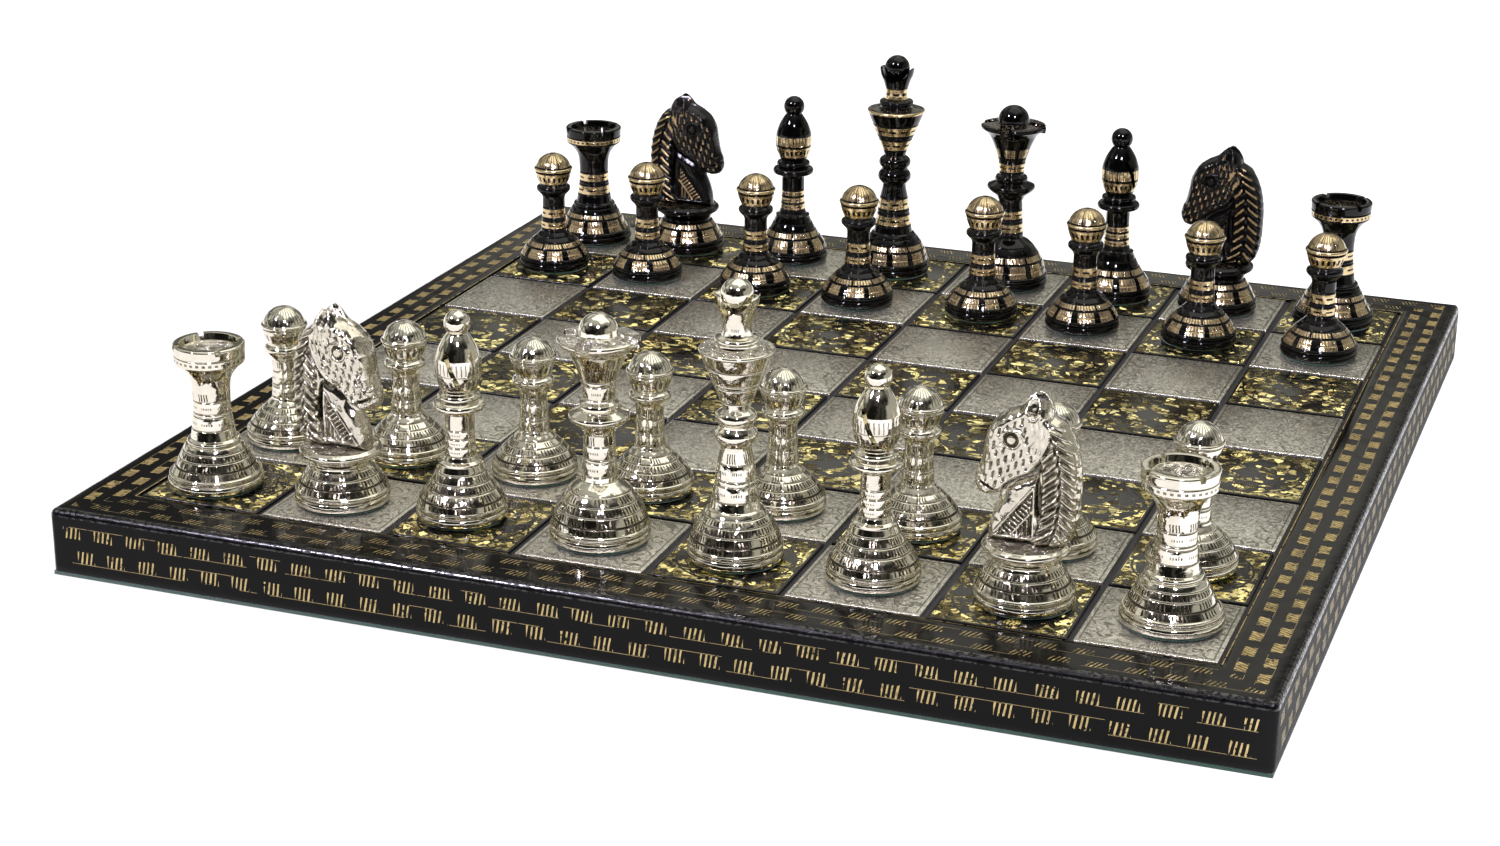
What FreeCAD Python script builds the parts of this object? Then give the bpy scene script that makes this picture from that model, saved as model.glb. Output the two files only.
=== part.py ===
import FreeCAD
import Part
import math
import os

# Chess set with board.
# A wood board wrapped in sheet brass carries sixty-four thin square tiles.
# Thirty-two turned and cast brass pieces stand on it, each on a felt pad.
# Millimetres, Z up. The origin is the middle of the board's underside.

os.makedirs("parts", exist_ok=True)
Vector = FreeCAD.Vector

# Board
BOARD_SIDE = 304.8
BOARD_HEIGHT = 17.6
BASE_FELT = 1.0
SHEET = 0.8
EDGE_ROUND = 1.8
CORNER_ROUND = 1.6
SQUARE_PITCH = 34.175
TILE_SIDE = 32.6
FIELD_SIDE = 8 * SQUARE_PITCH

# Piece feet
PAD = 0.8
PAD_INSET = 0.5
GROOVE_WIDTH = 0.36
GROOVE_DEPTH = 0.2

# How far each piece stands off the middle of its square, files a to h.
SILVER_ROW = [(-3.0, -2.5), (-2.0, -1.0), (-4.0, 0.5), (-1.0, 0.0), (-0.5, 0.5), (0.0, 0.0), (2.0, 0.5), (2.0, 1.5)]
SILVER_PAWNS = [(-2.0, -1.0), (-1.5, -0.5), (0.5, -0.5), (-2.0, 0.0), (-1.0, 0.5), (0.0, 0.0), (-0.5, 0.5), (-0.5, 0.5)]
BLACK_PAWNS = [(-2.5, 0.0), (-5.0, 0.5), (-3.0, 0.5), (-3.5, -0.5), (1.0, 2.0), (-1.5, 0.5), (-0.5, 0.5), (0.5, 0.5)]
BLACK_ROW = [(-3.0, -1.0), (-5.0, 0.5), (-3.5, 2.0), (-3.5, 0.5), (0.0, 1.0), (0.0, 0.5), (-2.0, 0.0), (-1.0, 0.0)]

SILVER_ORDER = ["rook", "knight", "bishop", "queen", "king", "bishop", "knight", "rook"]
BLACK_ORDER = ["rook", "knight", "bishop", "king", "queen", "bishop", "knight", "rook"]

# Way each knight faces, in degrees from +X.
KNIGHT_TURN = {"silver_knight_b": -6.0, "silver_knight_g": 180.0, "black_knight_b": 0.0, "black_knight_g": 180.0}


def save(name, shape):
    shape.exportStep("parts/" + name + ".step")


class Outline:
    """Half outline of a turned piece, drawn from the foot to the top as radius and height."""

    def __init__(self, radius, height):
        self.foot = height
        self.here = Vector(radius, 0, height)
        self.edges = [Part.makeLine(Vector(0, 0, height), self.here)]

    def line(self, radius, height):
        there = Vector(radius, 0, height)
        self.edges.append(Part.makeLine(self.here, there))
        self.here = there

    def arc(self, middle, end):
        there = Vector(end[0], 0, end[1])
        through = Vector(middle[0], 0, middle[1])
        self.edges.append(Part.Arc(self.here, through, there).toShape())
        self.here = there

    def dome(self, top):
        """Part of a ball centred on the axis, up to its top."""
        r, z = self.here.x, self.here.z
        centre = (top * top - z * z - r * r) / (2 * (top - z))
        ball = top - centre
        middle = (math.atan2(z - centre, r) + math.pi / 2) / 2
        self.arc((ball * math.cos(middle), centre + ball * math.sin(middle)), (0, top))

    def curve(self, points):
        knots = [self.here] + [Vector(r, 0, z) for r, z in points]
        spline = Part.BSplineCurve()
        spline.interpolate(knots)
        self.edges.append(spline.toShape())
        self.here = knots[-1]

    def bands(self, points):
        """Straight runs with a V cut ring between each two."""
        for number, (radius, height) in enumerate(points):
            there = Vector(radius, 0, height)
            run = there - self.here
            along = Vector(run)
            along.normalize()
            if number == len(points) - 1:
                self.line(radius, height)
            else:
                inwards = Vector(-along.z, 0, along.x)
                lower = there - along * (GROOVE_WIDTH / 2)
                upper = there + along * (GROOVE_WIDTH / 2)
                deep = there + inwards * GROOVE_DEPTH
                self.line(lower.x, lower.z)
                self.line(deep.x, deep.z)
                self.line(upper.x, upper.z)

    def solid(self):
        if self.here.x > 1e-6:
            self.line(0, self.here.z)
        self.edges.append(Part.makeLine(self.here, Vector(0, 0, self.foot)))
        face = Part.Face(Part.Wire(self.edges))
        return face.revolve(Vector(0, 0, 0), Vector(0, 0, 1), 360)


def foot(radius):
    """Plain plinth of every piece, with the cut above it."""
    outline = Outline(radius - 0.4, PAD)
    outline.line(radius, PAD + 0.4)
    outline.line(radius, 2.5)
    outline.arc((radius - 0.12, 2.82), (radius - 0.45, 2.95))
    outline.line(radius - 0.85, 2.95)
    outline.line(radius - 0.85, 3.3)
    return outline


def pawn():
    p = foot(11.1)
    p.arc((10.95, 3.75), (10.6, 4.35))
    p.bands([(9.9, 5.7), (8.6, 7.4), (7.0, 9.0), (5.4, 10.5), (4.5, 11.4)])
    p.line(4.1, 11.8)
    p.bands([(3.95, 13.8), (3.8, 16.0), (3.6, 18.4), (3.5, 20.6)])
    p.line(3.5, 22.6)
    p.curve([(3.85, 23.5), (4.7, 24.4)])
    p.line(5.05, 24.8)
    p.arc((5.35, 25.6), (5.0, 26.4))
    p.line(4.4, 26.8)
    p.line(4.4, 27.2)
    p.curve([(4.95, 28.5), (5.4, 29.8), (5.65, 31.0)])
    p.line(5.4, 31.2)
    p.line(5.75, 31.4)
    p.arc((6.05, 31.9), (5.75, 32.4))
    p.line(5.5, 32.55)
    p.dome(36.8)
    return p.solid()


def rook():
    p = foot(12.1)
    p.arc((11.6, 3.6), (11.0, 4.3))
    p.bands([(9.9, 6.1), (8.9, 8.2), (7.9, 10.1), (7.1, 11.4)])
    p.line(6.5, 11.6)
    p.arc((6.75, 12.2), (6.2, 12.8))
    p.line(5.7, 13.0)
    p.bands([(5.2, 16.2), (4.8, 19.4), (4.65, 22.6), (4.7, 25.4)])
    p.curve([(4.9, 27.6), (5.6, 29.6), (7.1, 31.5), (8.6, 32.8)])
    p.line(8.75, 33.1)
    p.bands([(8.8, 34.6), (8.9, 37.0)])
    p.arc((8.9, 37.5), (8.5, 37.8))
    p.line(7.1, 37.8)
    p.line(6.9, 36.0)
    p.line(0, 35.8)
    body = p.solid()
    for quarter in range(4):
        cut = Part.makeBox(4.0, 1.3, 2.0, Vector(6.0, -0.65, 36.5))
        cut.rotate(Vector(0, 0, 0), Vector(0, 0, 1), 45 + 90 * quarter)
        body = body.cut(cut)
    return body


def bishop():
    p = foot(11.3)
    p.arc((11.1, 3.75), (10.85, 4.35))
    p.bands([(10.3, 6.0), (8.7, 8.3), (7.3, 10.4), (6.1, 12.6), (5.35, 14.3)])
    p.line(5.4, 14.9)
    p.line(4.4, 15.3)
    p.bands([(3.9, 17.0), (3.7, 19.6), (3.6, 22.2), (3.6, 27.2)])
    p.line(4.5, 28.0)
    p.line(6.0, 28.4)
    p.arc((6.45, 29.3), (5.9, 30.2))
    p.line(4.7, 30.5)
    p.line(5.0, 30.9)
    p.arc((5.25, 31.6), (4.9, 32.3))
    p.line(4.0, 32.7)
    p.curve([(4.9, 34.5), (5.55, 37.2), (5.7, 39.6), (5.4, 41.9), (4.6, 44.2), (3.4, 46.3), (2.4, 47.7)])
    p.dome(53.2)
    blade = Part.makeCylinder(5.6, 1.2, Vector(-0.6, -8.2, 39.6), Vector(1, 0, 0))
    blade.rotate(Vector(0, -8.2, 39.6), Vector(0, 1, 0), -22)
    return p.solid().cut(blade)


def queen():
    p = foot(12.3)
    p.arc((12.2, 3.8), (11.8, 4.5))
    p.bands([(11.4, 6.6), (10.5, 9.0), (9.2, 11.2), (7.5, 13.2), (5.9, 14.6)])
    p.line(4.9, 15.1)
    p.line(4.4, 15.5)
    p.bands([(4.2, 18.4), (3.95, 21.4), (3.8, 24.4), (3.7, 27.2)])
    p.curve([(4.6, 28.7), (6.7, 30.4)])
    p.line(7.2, 31.0)
    p.arc((7.4, 31.7), (7.0, 32.3))
    p.line(4.8, 33.2)
    p.arc((5.05, 34.2), (4.6, 35.1))
    p.line(3.8, 35.5)
    p.bands([(3.95, 38.2), (4.5, 41.0), (5.4, 43.7)])
    p.curve([(6.2, 45.8), (7.5, 48.0), (9.5, 49.8)])
    p.arc((10.0, 50.5), (9.5, 51.2))
    p.line(4.85, 51.9)
    p.dome(57.1)
    body = p.solid()
    for quarter in range(4):
        scallop = Part.makeCylinder(1.9, 6.0, Vector(6.0, 0, 51.0), Vector(1, 0, 0))
        scallop.rotate(Vector(0, 0, 0), Vector(0, 0, 1), 90 * quarter)
        body = body.cut(scallop)
    return body


def king():
    p = foot(11.6)
    p.arc((11.5, 3.8), (11.15, 4.5))
    p.bands([(10.7, 6.4), (9.9, 8.4), (8.8, 10.3), (7.5, 12.0), (6.6, 13.1)])
    p.line(6.0, 13.4)
    p.bands([(5.5, 16.6), (5.05, 19.8), (4.5, 23.0), (3.7, 27.6)])
    p.line(3.65, 28.8)
    p.curve([(4.4, 29.6), (5.0, 30.4)])
    p.arc((5.15, 31.6), (4.6, 32.8))
    p.line(4.1, 33.4)
    p.line(4.1, 34.2)
    p.arc((4.95, 35.8), (4.1, 37.3))
    p.line(3.2, 38.0)
    p.bands([(4.1, 40.6), (5.4, 43.6), (6.75, 46.8), (8.1, 50.2)])
    p.line(8.75, 51.8)
    p.arc((8.95, 52.3), (8.6, 52.7))
    p.line(5.0, 53.2)
    p.line(4.8, 54.0)
    p.line(5.1, 54.2)
    p.arc((5.3, 54.9), (4.9, 55.5))
    p.line(3.6, 55.8)
    p.curve([(3.35, 57.4), (3.5, 59.4), (4.2, 61.6), (5.2, 63.9)])
    p.line(5.3, 65.7)
    p.line(4.5, 65.7)
    p.line(4.2, 62.0)
    p.line(0, 61.8)
    saddle = Part.makeCylinder(4.7, 16.0, Vector(0, -8, 66.6), Vector(0, 1, 0))
    ball = Part.makeSphere(3.9, Vector(0, 0, 65.6))
    return p.solid().cut(saddle).fuse(ball).removeSplitter()


def knight_base():
    p = foot(11.9)
    p.arc((11.8, 3.75), (11.4, 4.4))
    p.bands([(10.5, 6.2), (9.3, 8.2), (8.1, 9.9)])
    p.line(7.5, 10.3)
    p.line(7.5, 11.0)
    p.curve([(8.3, 12.0), (9.9, 13.2)])
    p.arc((10.3, 14.0), (9.8, 14.7))
    p.line(9.3, 15.2)
    return p.solid()


def spline(points):
    curve = Part.BSplineCurve()
    curve.interpolate([Vector(x, 0, z) for x, z in points])
    return curve.toShape()


def straight(a, b):
    return Part.makeLine(Vector(a[0], 0, a[1]), Vector(b[0], 0, b[1]))


def slab(edges, half_width):
    """Side outline given thickness either side of the middle plane."""
    face = Part.Face(Part.Wire(edges))
    solid = face.extrude(Vector(0, 2 * half_width, 0))
    solid.translate(Vector(0, -half_width, 0))
    return solid


def ring_of(points, axis_shape):
    """Closed smooth outline through points given as plain vectors."""
    curve = Part.BSplineCurve()
    curve.interpolate(points, PeriodicFlag=True)
    return Part.Face(Part.Wire([curve.toShape()])).extrude(axis_shape)


def knight_head():
    """Cast horse head, facing +X, standing on the flat top of its base."""
    low = 15.2
    rear = [(-8.4, low), (-10.6, 17.2), (-11.9, 21.5), (-12.3, 28.0), (-11.9, 35.0), (-10.3, 40.6), (-7.8, 44.6),
            (-5.0, 46.6)]
    chest = [(6.4, 26.6), (6.8, 24.6), (7.9, 21.6), (8.7, 18.4), (8.9, low)]
    neck = slab([spline(rear), straight(rear[-1], (2.0, 44.0)), straight((2.0, 44.0), (5.5, 38.0)),
                 straight((5.5, 38.0), chest[0]), spline(chest), straight(chest[-1], rear[0])], 4.0)

    ear = [(-5.2, 44.6), (-4.9, 47.2), (-3.5, 49.9), (-1.5, 51.3), (0.5, 50.2), (2.4, 47.9)]
    face = [(2.4, 47.9), (5.2, 46.5), (8.0, 44.2), (9.9, 40.8), (10.6, 36.8), (11.3, 33.4), (12.3, 30.9), (12.5, 28.4),
            (11.4, 26.3), (9.3, 25.6), (6.6, 26.4)]
    jaw = [(6.6, 26.4), (4.8, 29.4), (2.0, 31.4), (-1.4, 33.4), (-4.0, 37.2), (-5.4, 41.2), (-5.2, 44.6)]
    head = slab([spline(ear), spline(face), spline(jaw)], 6.0)
    half = [(4.4, 24.0), (4.7, 30.0), (4.9, 36.0), (4.6, 41.0), (4.4, 44.5), (4.3, 47.0), (3.9, 49.4), (3.1, 51.6),
            (2.3, 49.8), (1.2, 47.6), (0.0, 46.4)]
    right = [Vector(-20, y, z) for y, z in half]
    left = [Vector(-20, -y, z) for y, z in half[-2::-1]]
    front = Part.makePolygon(right + left + [right[0]])
    head = head.common(Part.Face(front).extrude(Vector(40, 0, 0)))

    band = [(-7.6, 17.4), (-8.2, 23.0), (-8.0, 29.0), (-7.4, 35.0), (-6.4, 39.8), (-4.4, 44.4)]
    back = [(x - 0.4, z) for x, z in rear[1:]]
    mane = slab([spline(back), straight(back[-1], band[-1]), spline(band[::-1]), straight(band[0], back[0])], 4.6)
    for step in range(9):
        height = 19.0 + 2.7 * step
        for side in (1, -1):
            nick = Part.makeBox(6.0, 1.0, 0.6, Vector(-13.4, 0, height - 0.3))
            nick.translate(Vector(0, 4.0 if side > 0 else -5.0, 0))
            nick.rotate(Vector(-10, 0, height), Vector(0, 1, 0), 32)
            mane = mane.cut(nick)

    plan = [(-12.6, 0.0), (-12.0, 2.4), (-9.5, 4.0), (-4.0, 4.8), (2.0, 4.9), (7.0, 4.0), (10.5, 3.1), (12.4, 2.0),
            (12.9, 0.0), (12.4, -2.0), (10.5, -3.1), (7.0, -4.0), (2.0, -4.9), (-4.0, -4.8), (-9.5, -4.0), (-12.0, -2.4)]
    outline = ring_of([Vector(x, y, 10) for x, y in plan], Vector(0, 0, 50))
    horse = neck.fuse(head).fuse(mane).common(outline)

    for side in (1, -1):
        start = 3.2 if side > 0 else -5.2
        corners = [(0.6, 28.0), (7.0, 17.2), (-5.4, 17.2), (0.6, 28.0)]
        panel = Part.makePolygon([Vector(x, start, z) for x, z in corners])
        horse = horse.cut(Part.Face(panel).extrude(Vector(0, 2, 0)))
    mouth = Part.makeBox(6.0, 14.0, 0.7, Vector(8.4, -7, 28.9))
    mouth.rotate(Vector(8.4, 0, 29.2), Vector(0, 1, 0), 24)
    horse = horse.cut(mouth)
    eyes = Part.makeCylinder(1.2, 10.0, Vector(3.2, -5.0, 40.4), Vector(0, 1, 0))
    nostrils = Part.makeCylinder(0.55, 12.0, Vector(10.6, -6.0, 31.6), Vector(0, 1, 0))
    return horse.fuse(eyes).cut(nostrils)


def pad(radius):
    return Part.makeCylinder(radius - PAD_INSET, PAD)


RADIUS = {"pawn": 11.1, "rook": 12.1, "knight": 11.9, "bishop": 11.3, "queen": 12.3, "king": 11.6}
SHAPES = {"pawn": pawn(), "rook": rook(), "bishop": bishop(), "queen": queen(), "king": king()}
KNIGHT_BASE = knight_base()
KNIGHT_HEAD = knight_head()


def square_middle(column, row):
    return Vector((column - 3.5) * SQUARE_PITCH, (row - 3.5) * SQUARE_PITCH, BOARD_HEIGHT)


def placed(shape, spot, turn=0.0):
    moved = shape.copy()
    moved.rotate(Vector(0, 0, 0), Vector(0, 0, 1), turn)
    moved.translate(spot)
    return moved


# The board: felt, wood core, brass wrap and tiles.

half = BOARD_SIDE / 2
inner = half - SHEET
felt = Part.makeBox(BOARD_SIDE - 0.4, BOARD_SIDE - 0.4, BASE_FELT, Vector(0.2 - half, 0.2 - half, 0))
save("board_felt", felt)


def board_block(reach, top, corner, edge):
    block = Part.makeBox(2 * reach, 2 * reach, top - BASE_FELT, Vector(-reach, -reach, BASE_FELT))
    upright = [e for e in block.Edges if abs(e.Vertexes[0].Z - e.Vertexes[1].Z) > 1]
    block = block.makeFillet(corner, upright)
    rim = [e for e in block.Edges if all(abs(v.Z - top) < 1e-6 for v in e.Vertexes)]
    return block.makeFillet(edge, rim)


core = board_block(inner, BOARD_HEIGHT - SHEET, CORNER_ROUND - SHEET, EDGE_ROUND - SHEET)
save("board_core", core)

window = Part.makeBox(FIELD_SIDE, FIELD_SIDE, 10, Vector(-FIELD_SIDE / 2, -FIELD_SIDE / 2, BOARD_HEIGHT - SHEET))
wrap = board_block(half, BOARD_HEIGHT, CORNER_ROUND, EDGE_ROUND).cut(core).cut(window)
save("board_cladding", wrap)

tiles = {"silver": [], "gold": []}
for column in range(8):
    for row in range(8):
        middle = square_middle(column, row)
        corner = Vector(middle.x - TILE_SIDE / 2, middle.y - TILE_SIDE / 2, BOARD_HEIGHT - SHEET)
        metal = "gold" if (column + row) % 2 == 0 else "silver"
        tiles[metal].append(Part.makeBox(TILE_SIDE, TILE_SIDE, SHEET, corner))
save("silver_squares", Part.makeCompound(tiles["silver"]))
save("gold_squares", Part.makeCompound(tiles["gold"]))

# The pieces. A pawn and its felt pad share a file, the larger pieces have a file for each.

for side, order, offsets, row in (("silver", SILVER_ORDER, SILVER_ROW, 0), ("black", BLACK_ORDER, BLACK_ROW, 7)):
    for column, kind in enumerate(order):
        name = side + "_" + kind + "_" + "abcdefgh"[column]
        spot = square_middle(column, row) + Vector(offsets[column][0], offsets[column][1], 0)
        save(name + "_felt", placed(pad(RADIUS[kind]), spot))
        if kind == "knight":
            save(name + "_base", placed(KNIGHT_BASE, spot))
            save(name + "_head", placed(KNIGHT_HEAD, spot, KNIGHT_TURN[name]))
        else:
            save(name, placed(SHAPES[kind], spot))

for side, offsets, row in (("silver", SILVER_PAWNS, 1), ("black", BLACK_PAWNS, 6)):
    for column in range(8):
        name = side + "_pawn_" + "abcdefgh"[column]
        spot = square_middle(column, row) + Vector(offsets[column][0], offsets[column][1], 0)
        both = Part.makeCompound([placed(SHAPES["pawn"], spot), placed(pad(RADIUS["pawn"]), spot)])
        save(name, both)
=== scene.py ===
import bmesh
import bpy
import math
import numpy as np
from mathutils import Euler, Matrix, Vector, noise


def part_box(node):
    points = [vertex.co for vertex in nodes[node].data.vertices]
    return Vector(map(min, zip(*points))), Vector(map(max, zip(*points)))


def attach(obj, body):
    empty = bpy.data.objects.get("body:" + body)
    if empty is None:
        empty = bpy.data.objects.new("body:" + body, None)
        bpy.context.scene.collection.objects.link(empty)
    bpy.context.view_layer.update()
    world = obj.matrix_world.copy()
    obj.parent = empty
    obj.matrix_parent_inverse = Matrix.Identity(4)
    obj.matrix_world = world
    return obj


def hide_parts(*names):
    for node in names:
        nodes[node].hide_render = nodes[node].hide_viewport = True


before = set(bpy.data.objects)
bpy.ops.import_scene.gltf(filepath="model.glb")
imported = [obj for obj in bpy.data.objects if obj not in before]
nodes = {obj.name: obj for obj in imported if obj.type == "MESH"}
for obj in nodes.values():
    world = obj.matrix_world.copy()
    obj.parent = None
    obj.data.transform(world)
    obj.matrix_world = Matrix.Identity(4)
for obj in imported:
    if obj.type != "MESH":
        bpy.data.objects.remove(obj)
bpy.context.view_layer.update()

# ----------------------------------------
# Base felt and wood core.
# The board is a flat block of sanded wood, stained black on top, with green felt glued under it.
# The brass and tiles hide the wood but for thin dark lines, painted shade as well as stain, and only the
# felt's edge shows.

MM = 0.001
STAIN_AND_SHADE_FOOT = 16.3


class Wire:
    """A socket of a material's nodes. Sums written with wires add their Math nodes."""

    def __init__(self, tree, socket=None):
        self.tree = tree
        self.socket = socket

    def node(self, kind, settings, values, out=0):
        """Any node: its type, its settings, which are set first, and what goes into its sockets."""
        made = self.tree.nodes.new("ShaderNode" + kind)
        for name, value in settings.items():
            setattr(made, name, value)
        pairs = values.items() if isinstance(values, dict) else enumerate(values)
        for key, value in pairs:
            if isinstance(value, Wire):
                self.tree.links.new(value.socket, made.inputs[key])
            else:
                made.inputs[key].default_value = value
        return Wire(self.tree, made.outputs[out]) if len(made.outputs) else None

    def math(self, operation, *values):
        return self.node("Math", {"operation": operation}, values)

    def __add__(self, other):
        return self.math("ADD", self, other)

    def __radd__(self, other):
        return self.math("ADD", other, self)

    def __sub__(self, other):
        return self.math("SUBTRACT", self, other)

    def __rsub__(self, other):
        return self.math("SUBTRACT", other, self)

    def __mul__(self, other):
        return self.math("MULTIPLY", self, other)

    def __truediv__(self, other):
        return self.math("DIVIDE", self, other)

    def __gt__(self, other):
        return self.math("GREATER_THAN", self, other)

    def __lt__(self, other):
        return self.math("LESS_THAN", self, other)

    def __abs__(self):
        return self.math("ABSOLUTE", self)

    def fract(self):
        return self.math("FRACT", self)

    def floor(self):
        return self.math("FLOOR", self)

    def between(self, low, high):
        return (self > low) * (self < high)

    def biggest(self, other):
        return self.math("MAXIMUM", self, other)

    def eased(self, low, high):
        """0 below low, 1 above high, smooth between."""
        return self.node("MapRange", {"interpolation_type": "SMOOTHSTEP"}, [self, low, high, 0.0, 1.0])

    def chosen(self, other, mask):
        """This value where mask is 0, and the other where it is 1."""
        return self + (other - self) * mask

    def split(self):
        parts = self.tree.nodes.new("ShaderNodeSeparateXYZ")
        self.tree.links.new(self.socket, parts.inputs[0])
        return [Wire(self.tree, out) for out in parts.outputs]

    def joined(self, x, y, z):
        return self.node("CombineXYZ", {}, [x, y, z])

    def blended(self, mask, low, high):
        """Colour low where mask is 0, high where it is 1. Either may be a plain colour."""
        low, high = ((*colour, 1.0) if isinstance(colour, tuple) else colour for colour in (low, high))
        return self.node("Mix", {"data_type": "RGBA"}, {0: mask, 6: low, 7: high}, out=2)

    def noise(self, where, scale, detail=2.0, rough=0.5):
        values = {"Vector": where, "Scale": scale, "Detail": detail, "Roughness": rough}
        return self.node("TexNoise", {}, values)

    def random(self, value):
        return self.node("TexWhiteNoise", {"noise_dimensions": "1D"}, {"W": value})

    def bump(self, height, depth, strength=1.0):
        values = {"Height": height, "Distance": depth, "Strength": strength}
        return self.node("Bump", {}, values, out="Normal")


def new_finish(name):
    """An empty material, and the wire that its nodes are made from."""
    material = bpy.data.materials.new(name)
    material.use_nodes = True
    material.node_tree.nodes.clear()
    return material, Wire(material.node_tree)


def shaded(material, w, values):
    """Ends a finish: one Principled shader with these values."""
    w.node("OutputMaterial", {}, [w.node("BsdfPrincipled", {}, values)])
    return material


def place_of(wire):
    """The piece's own coordinates, in millimetres."""
    own = wire.node("TexCoord", {}, [], out="Object")
    return wire.node("VectorMath", {"operation": "SCALE"}, {0: own, "Scale": 1000.0})


def grey(value):
    return (value, value, value)


def felt_finish():
    """Green baize: short matted nap, uneven in colour."""
    material, w = new_finish("green_baize")
    where = place_of(w)
    nap = w.noise(where, 2.6, 5.0, 0.7)
    patch = w.noise(where, 0.12, 2.0)
    colour = w.blended(nap * 0.7 + patch * 0.3, (0.001, 0.014, 0.007), (0.006, 0.075, 0.036))
    return shaded(material, w, {
        "Base Color": colour, "Roughness": 0.95, "Specular IOR Level": 0.15, "Sheen Weight": 0.6,
        "Normal": w.bump(nap, 0.0004)})


def wood_finish():
    """Sanded softwood with grain along X, stained black on top, which is also painted shade in the gaps
    between tiles.
    """
    material, w = new_finish("sanded_softwood")
    x, y, z = place_of(w).split()
    drawn = w.joined(x * 0.05, y, z * 1.6)
    wander = w.noise(drawn, 0.25, 3.0)
    rings = w.math("SINE", (y + wander * 22.0) * 1.1) * 0.5 + 0.5
    fibre = w.noise(w.joined(x * 0.03, y, z), 3.0, 4.0)
    colour = w.blended(rings * 0.6 + fibre * 0.4, (0.22, 0.12, 0.055), (0.5, 0.33, 0.18))
    # Near-black on top: stain, and painted shade in the gaps between tiles.
    colour = w.blended(z > STAIN_AND_SHADE_FOOT, colour, w.blended(fibre, grey(0.004), grey(0.016)))
    return shaded(material, w, {
        "Base Color": colour, "Roughness": fibre * 0.2 + 0.5, "Normal": w.bump(fibre, 0.0001)})


def coat(piece, finish):
    """Gives a piece or a carried-over part one finish all over."""
    piece.data.materials.clear()
    piece.data.materials.append(finish)


def placed(name, data):
    """A new object in the scene."""
    thing = bpy.data.objects.new(name, data)
    bpy.context.scene.collection.objects.link(thing)
    return thing


baize = felt_finish()
coat(nodes["board_felt"], baize)
coat(nodes["board_core"], wood_finish())

# ----------------------------------------
# Brass wrap.
# Thin sheet brass folded over the block by hand, lacquered black, then cut through to the brass
# in two rows of little strokes on the rim and on every side.

low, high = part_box("board_cladding")
REACH = high.x
BOARD_TOP = high.z
WRAP_FOOT = low.z
CORNER = 1.6 * MM
EDGE = 1.8 * MM
FIELD = 8 * 34.175 * MM
SHEET = 0.8 * MM
BRASS = (0.82, 0.65, 0.3)


def weld(mesh, near, thin=0.0):
    """Makes points closer than near one point, and drops slivers thinner than thin."""
    work = bmesh.new()
    work.from_mesh(mesh)
    bmesh.ops.remove_doubles(work, verts=work.verts, dist=near)
    if thin:
        bmesh.ops.dissolve_degenerate(work, edges=work.edges, dist=thin)
    work.to_mesh(mesh)
    work.free()


def wrap_section():
    """Inset from the outer side and height, from the inner edge of the rim to the folded-in foot."""
    rim = REACH - FIELD / 2
    section = [(rim, BOARD_TOP - SHEET), (rim, BOARD_TOP - 0.1 * MM), (rim - 0.1 * MM, BOARD_TOP)]
    section += [(rim - step * (rim - EDGE) / 8, BOARD_TOP) for step in range(1, 8)]
    for step in range(9):
        turn = math.radians(90 - 11.25 * step)
        section.append((EDGE - EDGE * math.cos(turn), BOARD_TOP - EDGE + EDGE * math.sin(turn)))
    drop = BOARD_TOP - EDGE - WRAP_FOOT
    section += [(0.0, WRAP_FOOT + drop * (1 - step / 8)) for step in range(1, 8)]
    section += [(0.0, WRAP_FOOT + 0.15 * MM), (0.15 * MM, WRAP_FOOT), (SHEET, WRAP_FOOT)]
    section += [(SHEET, BOARD_TOP - SHEET), (rim, BOARD_TOP - SHEET)]
    return section[:-1]


def wrap_point(side, share, inset, height):
    """share runs from -1 to 1 along a side between corners, and past them round half of each corner."""
    round_left = max(CORNER - inset, 0.0)
    reach = REACH - CORNER if inset < CORNER else REACH - inset
    if abs(share) <= 1:
        x, y = share * reach, -reach - round_left
    else:
        turn = (abs(share) - 1) * math.radians(45)
        x = reach + round_left * math.sin(turn)
        y = -reach - round_left * math.cos(turn)
        x = math.copysign(x, share)
    point = Matrix.Rotation(math.radians(90 * side), 3, "Z") @ Vector((x, y, height))
    return point


def brass_wrap(finish):
    section = wrap_section()
    along = [-1.75, -1.5, -1.25] + list(np.linspace(-1, 1, 121)) + [1.25, 1.5, 1.75, 2.0]
    verts = []
    for side in range(4):
        for share in along:
            for inset, height in section:
                point = wrap_point(side, share, inset, height)
                if inset < SHEET - 1e-6 and height < BOARD_TOP - 1e-6:
                    dent = noise.noise(Vector((point.x, point.y, point.z)) * 260) * 0.05 * MM
                    point -= Vector((point.x, point.y, 0)).normalized() * (0.05 * MM + dent)
                if 0.0 < inset < 0.012 and height > BOARD_TOP - EDGE:
                    point.z -= 0.06 * MM * (1 + noise.noise(Vector((point.x, point.y, 0)) * 220))
                verts.append(tuple(point))
    rows = len(section)
    columns = 4 * len(along)
    faces = []
    for column in range(columns):
        here, beside = column * rows, (column + 1) % columns * rows
        for row in range(rows):
            above = (row + 1) % rows
            faces.append((here + row, here + above, beside + above, beside + row))
    mesh = bpy.data.meshes.new("brass_wrap")
    mesh.from_pydata(verts, [], faces)
    mesh.validate()
    weld(mesh, 1e-6, 1e-7)
    work = bmesh.new()
    work.from_mesh(mesh)
    bmesh.ops.recalc_face_normals(work, faces=work.faces)
    work.to_mesh(mesh)
    work.free()
    mesh.shade_smooth()
    mesh.set_sharp_from_angle(angle=math.radians(50))
    piece = placed("brass_wrap", mesh)
    coat(piece, finish)
    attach(piece, "board")
    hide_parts("board_cladding")


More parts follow.
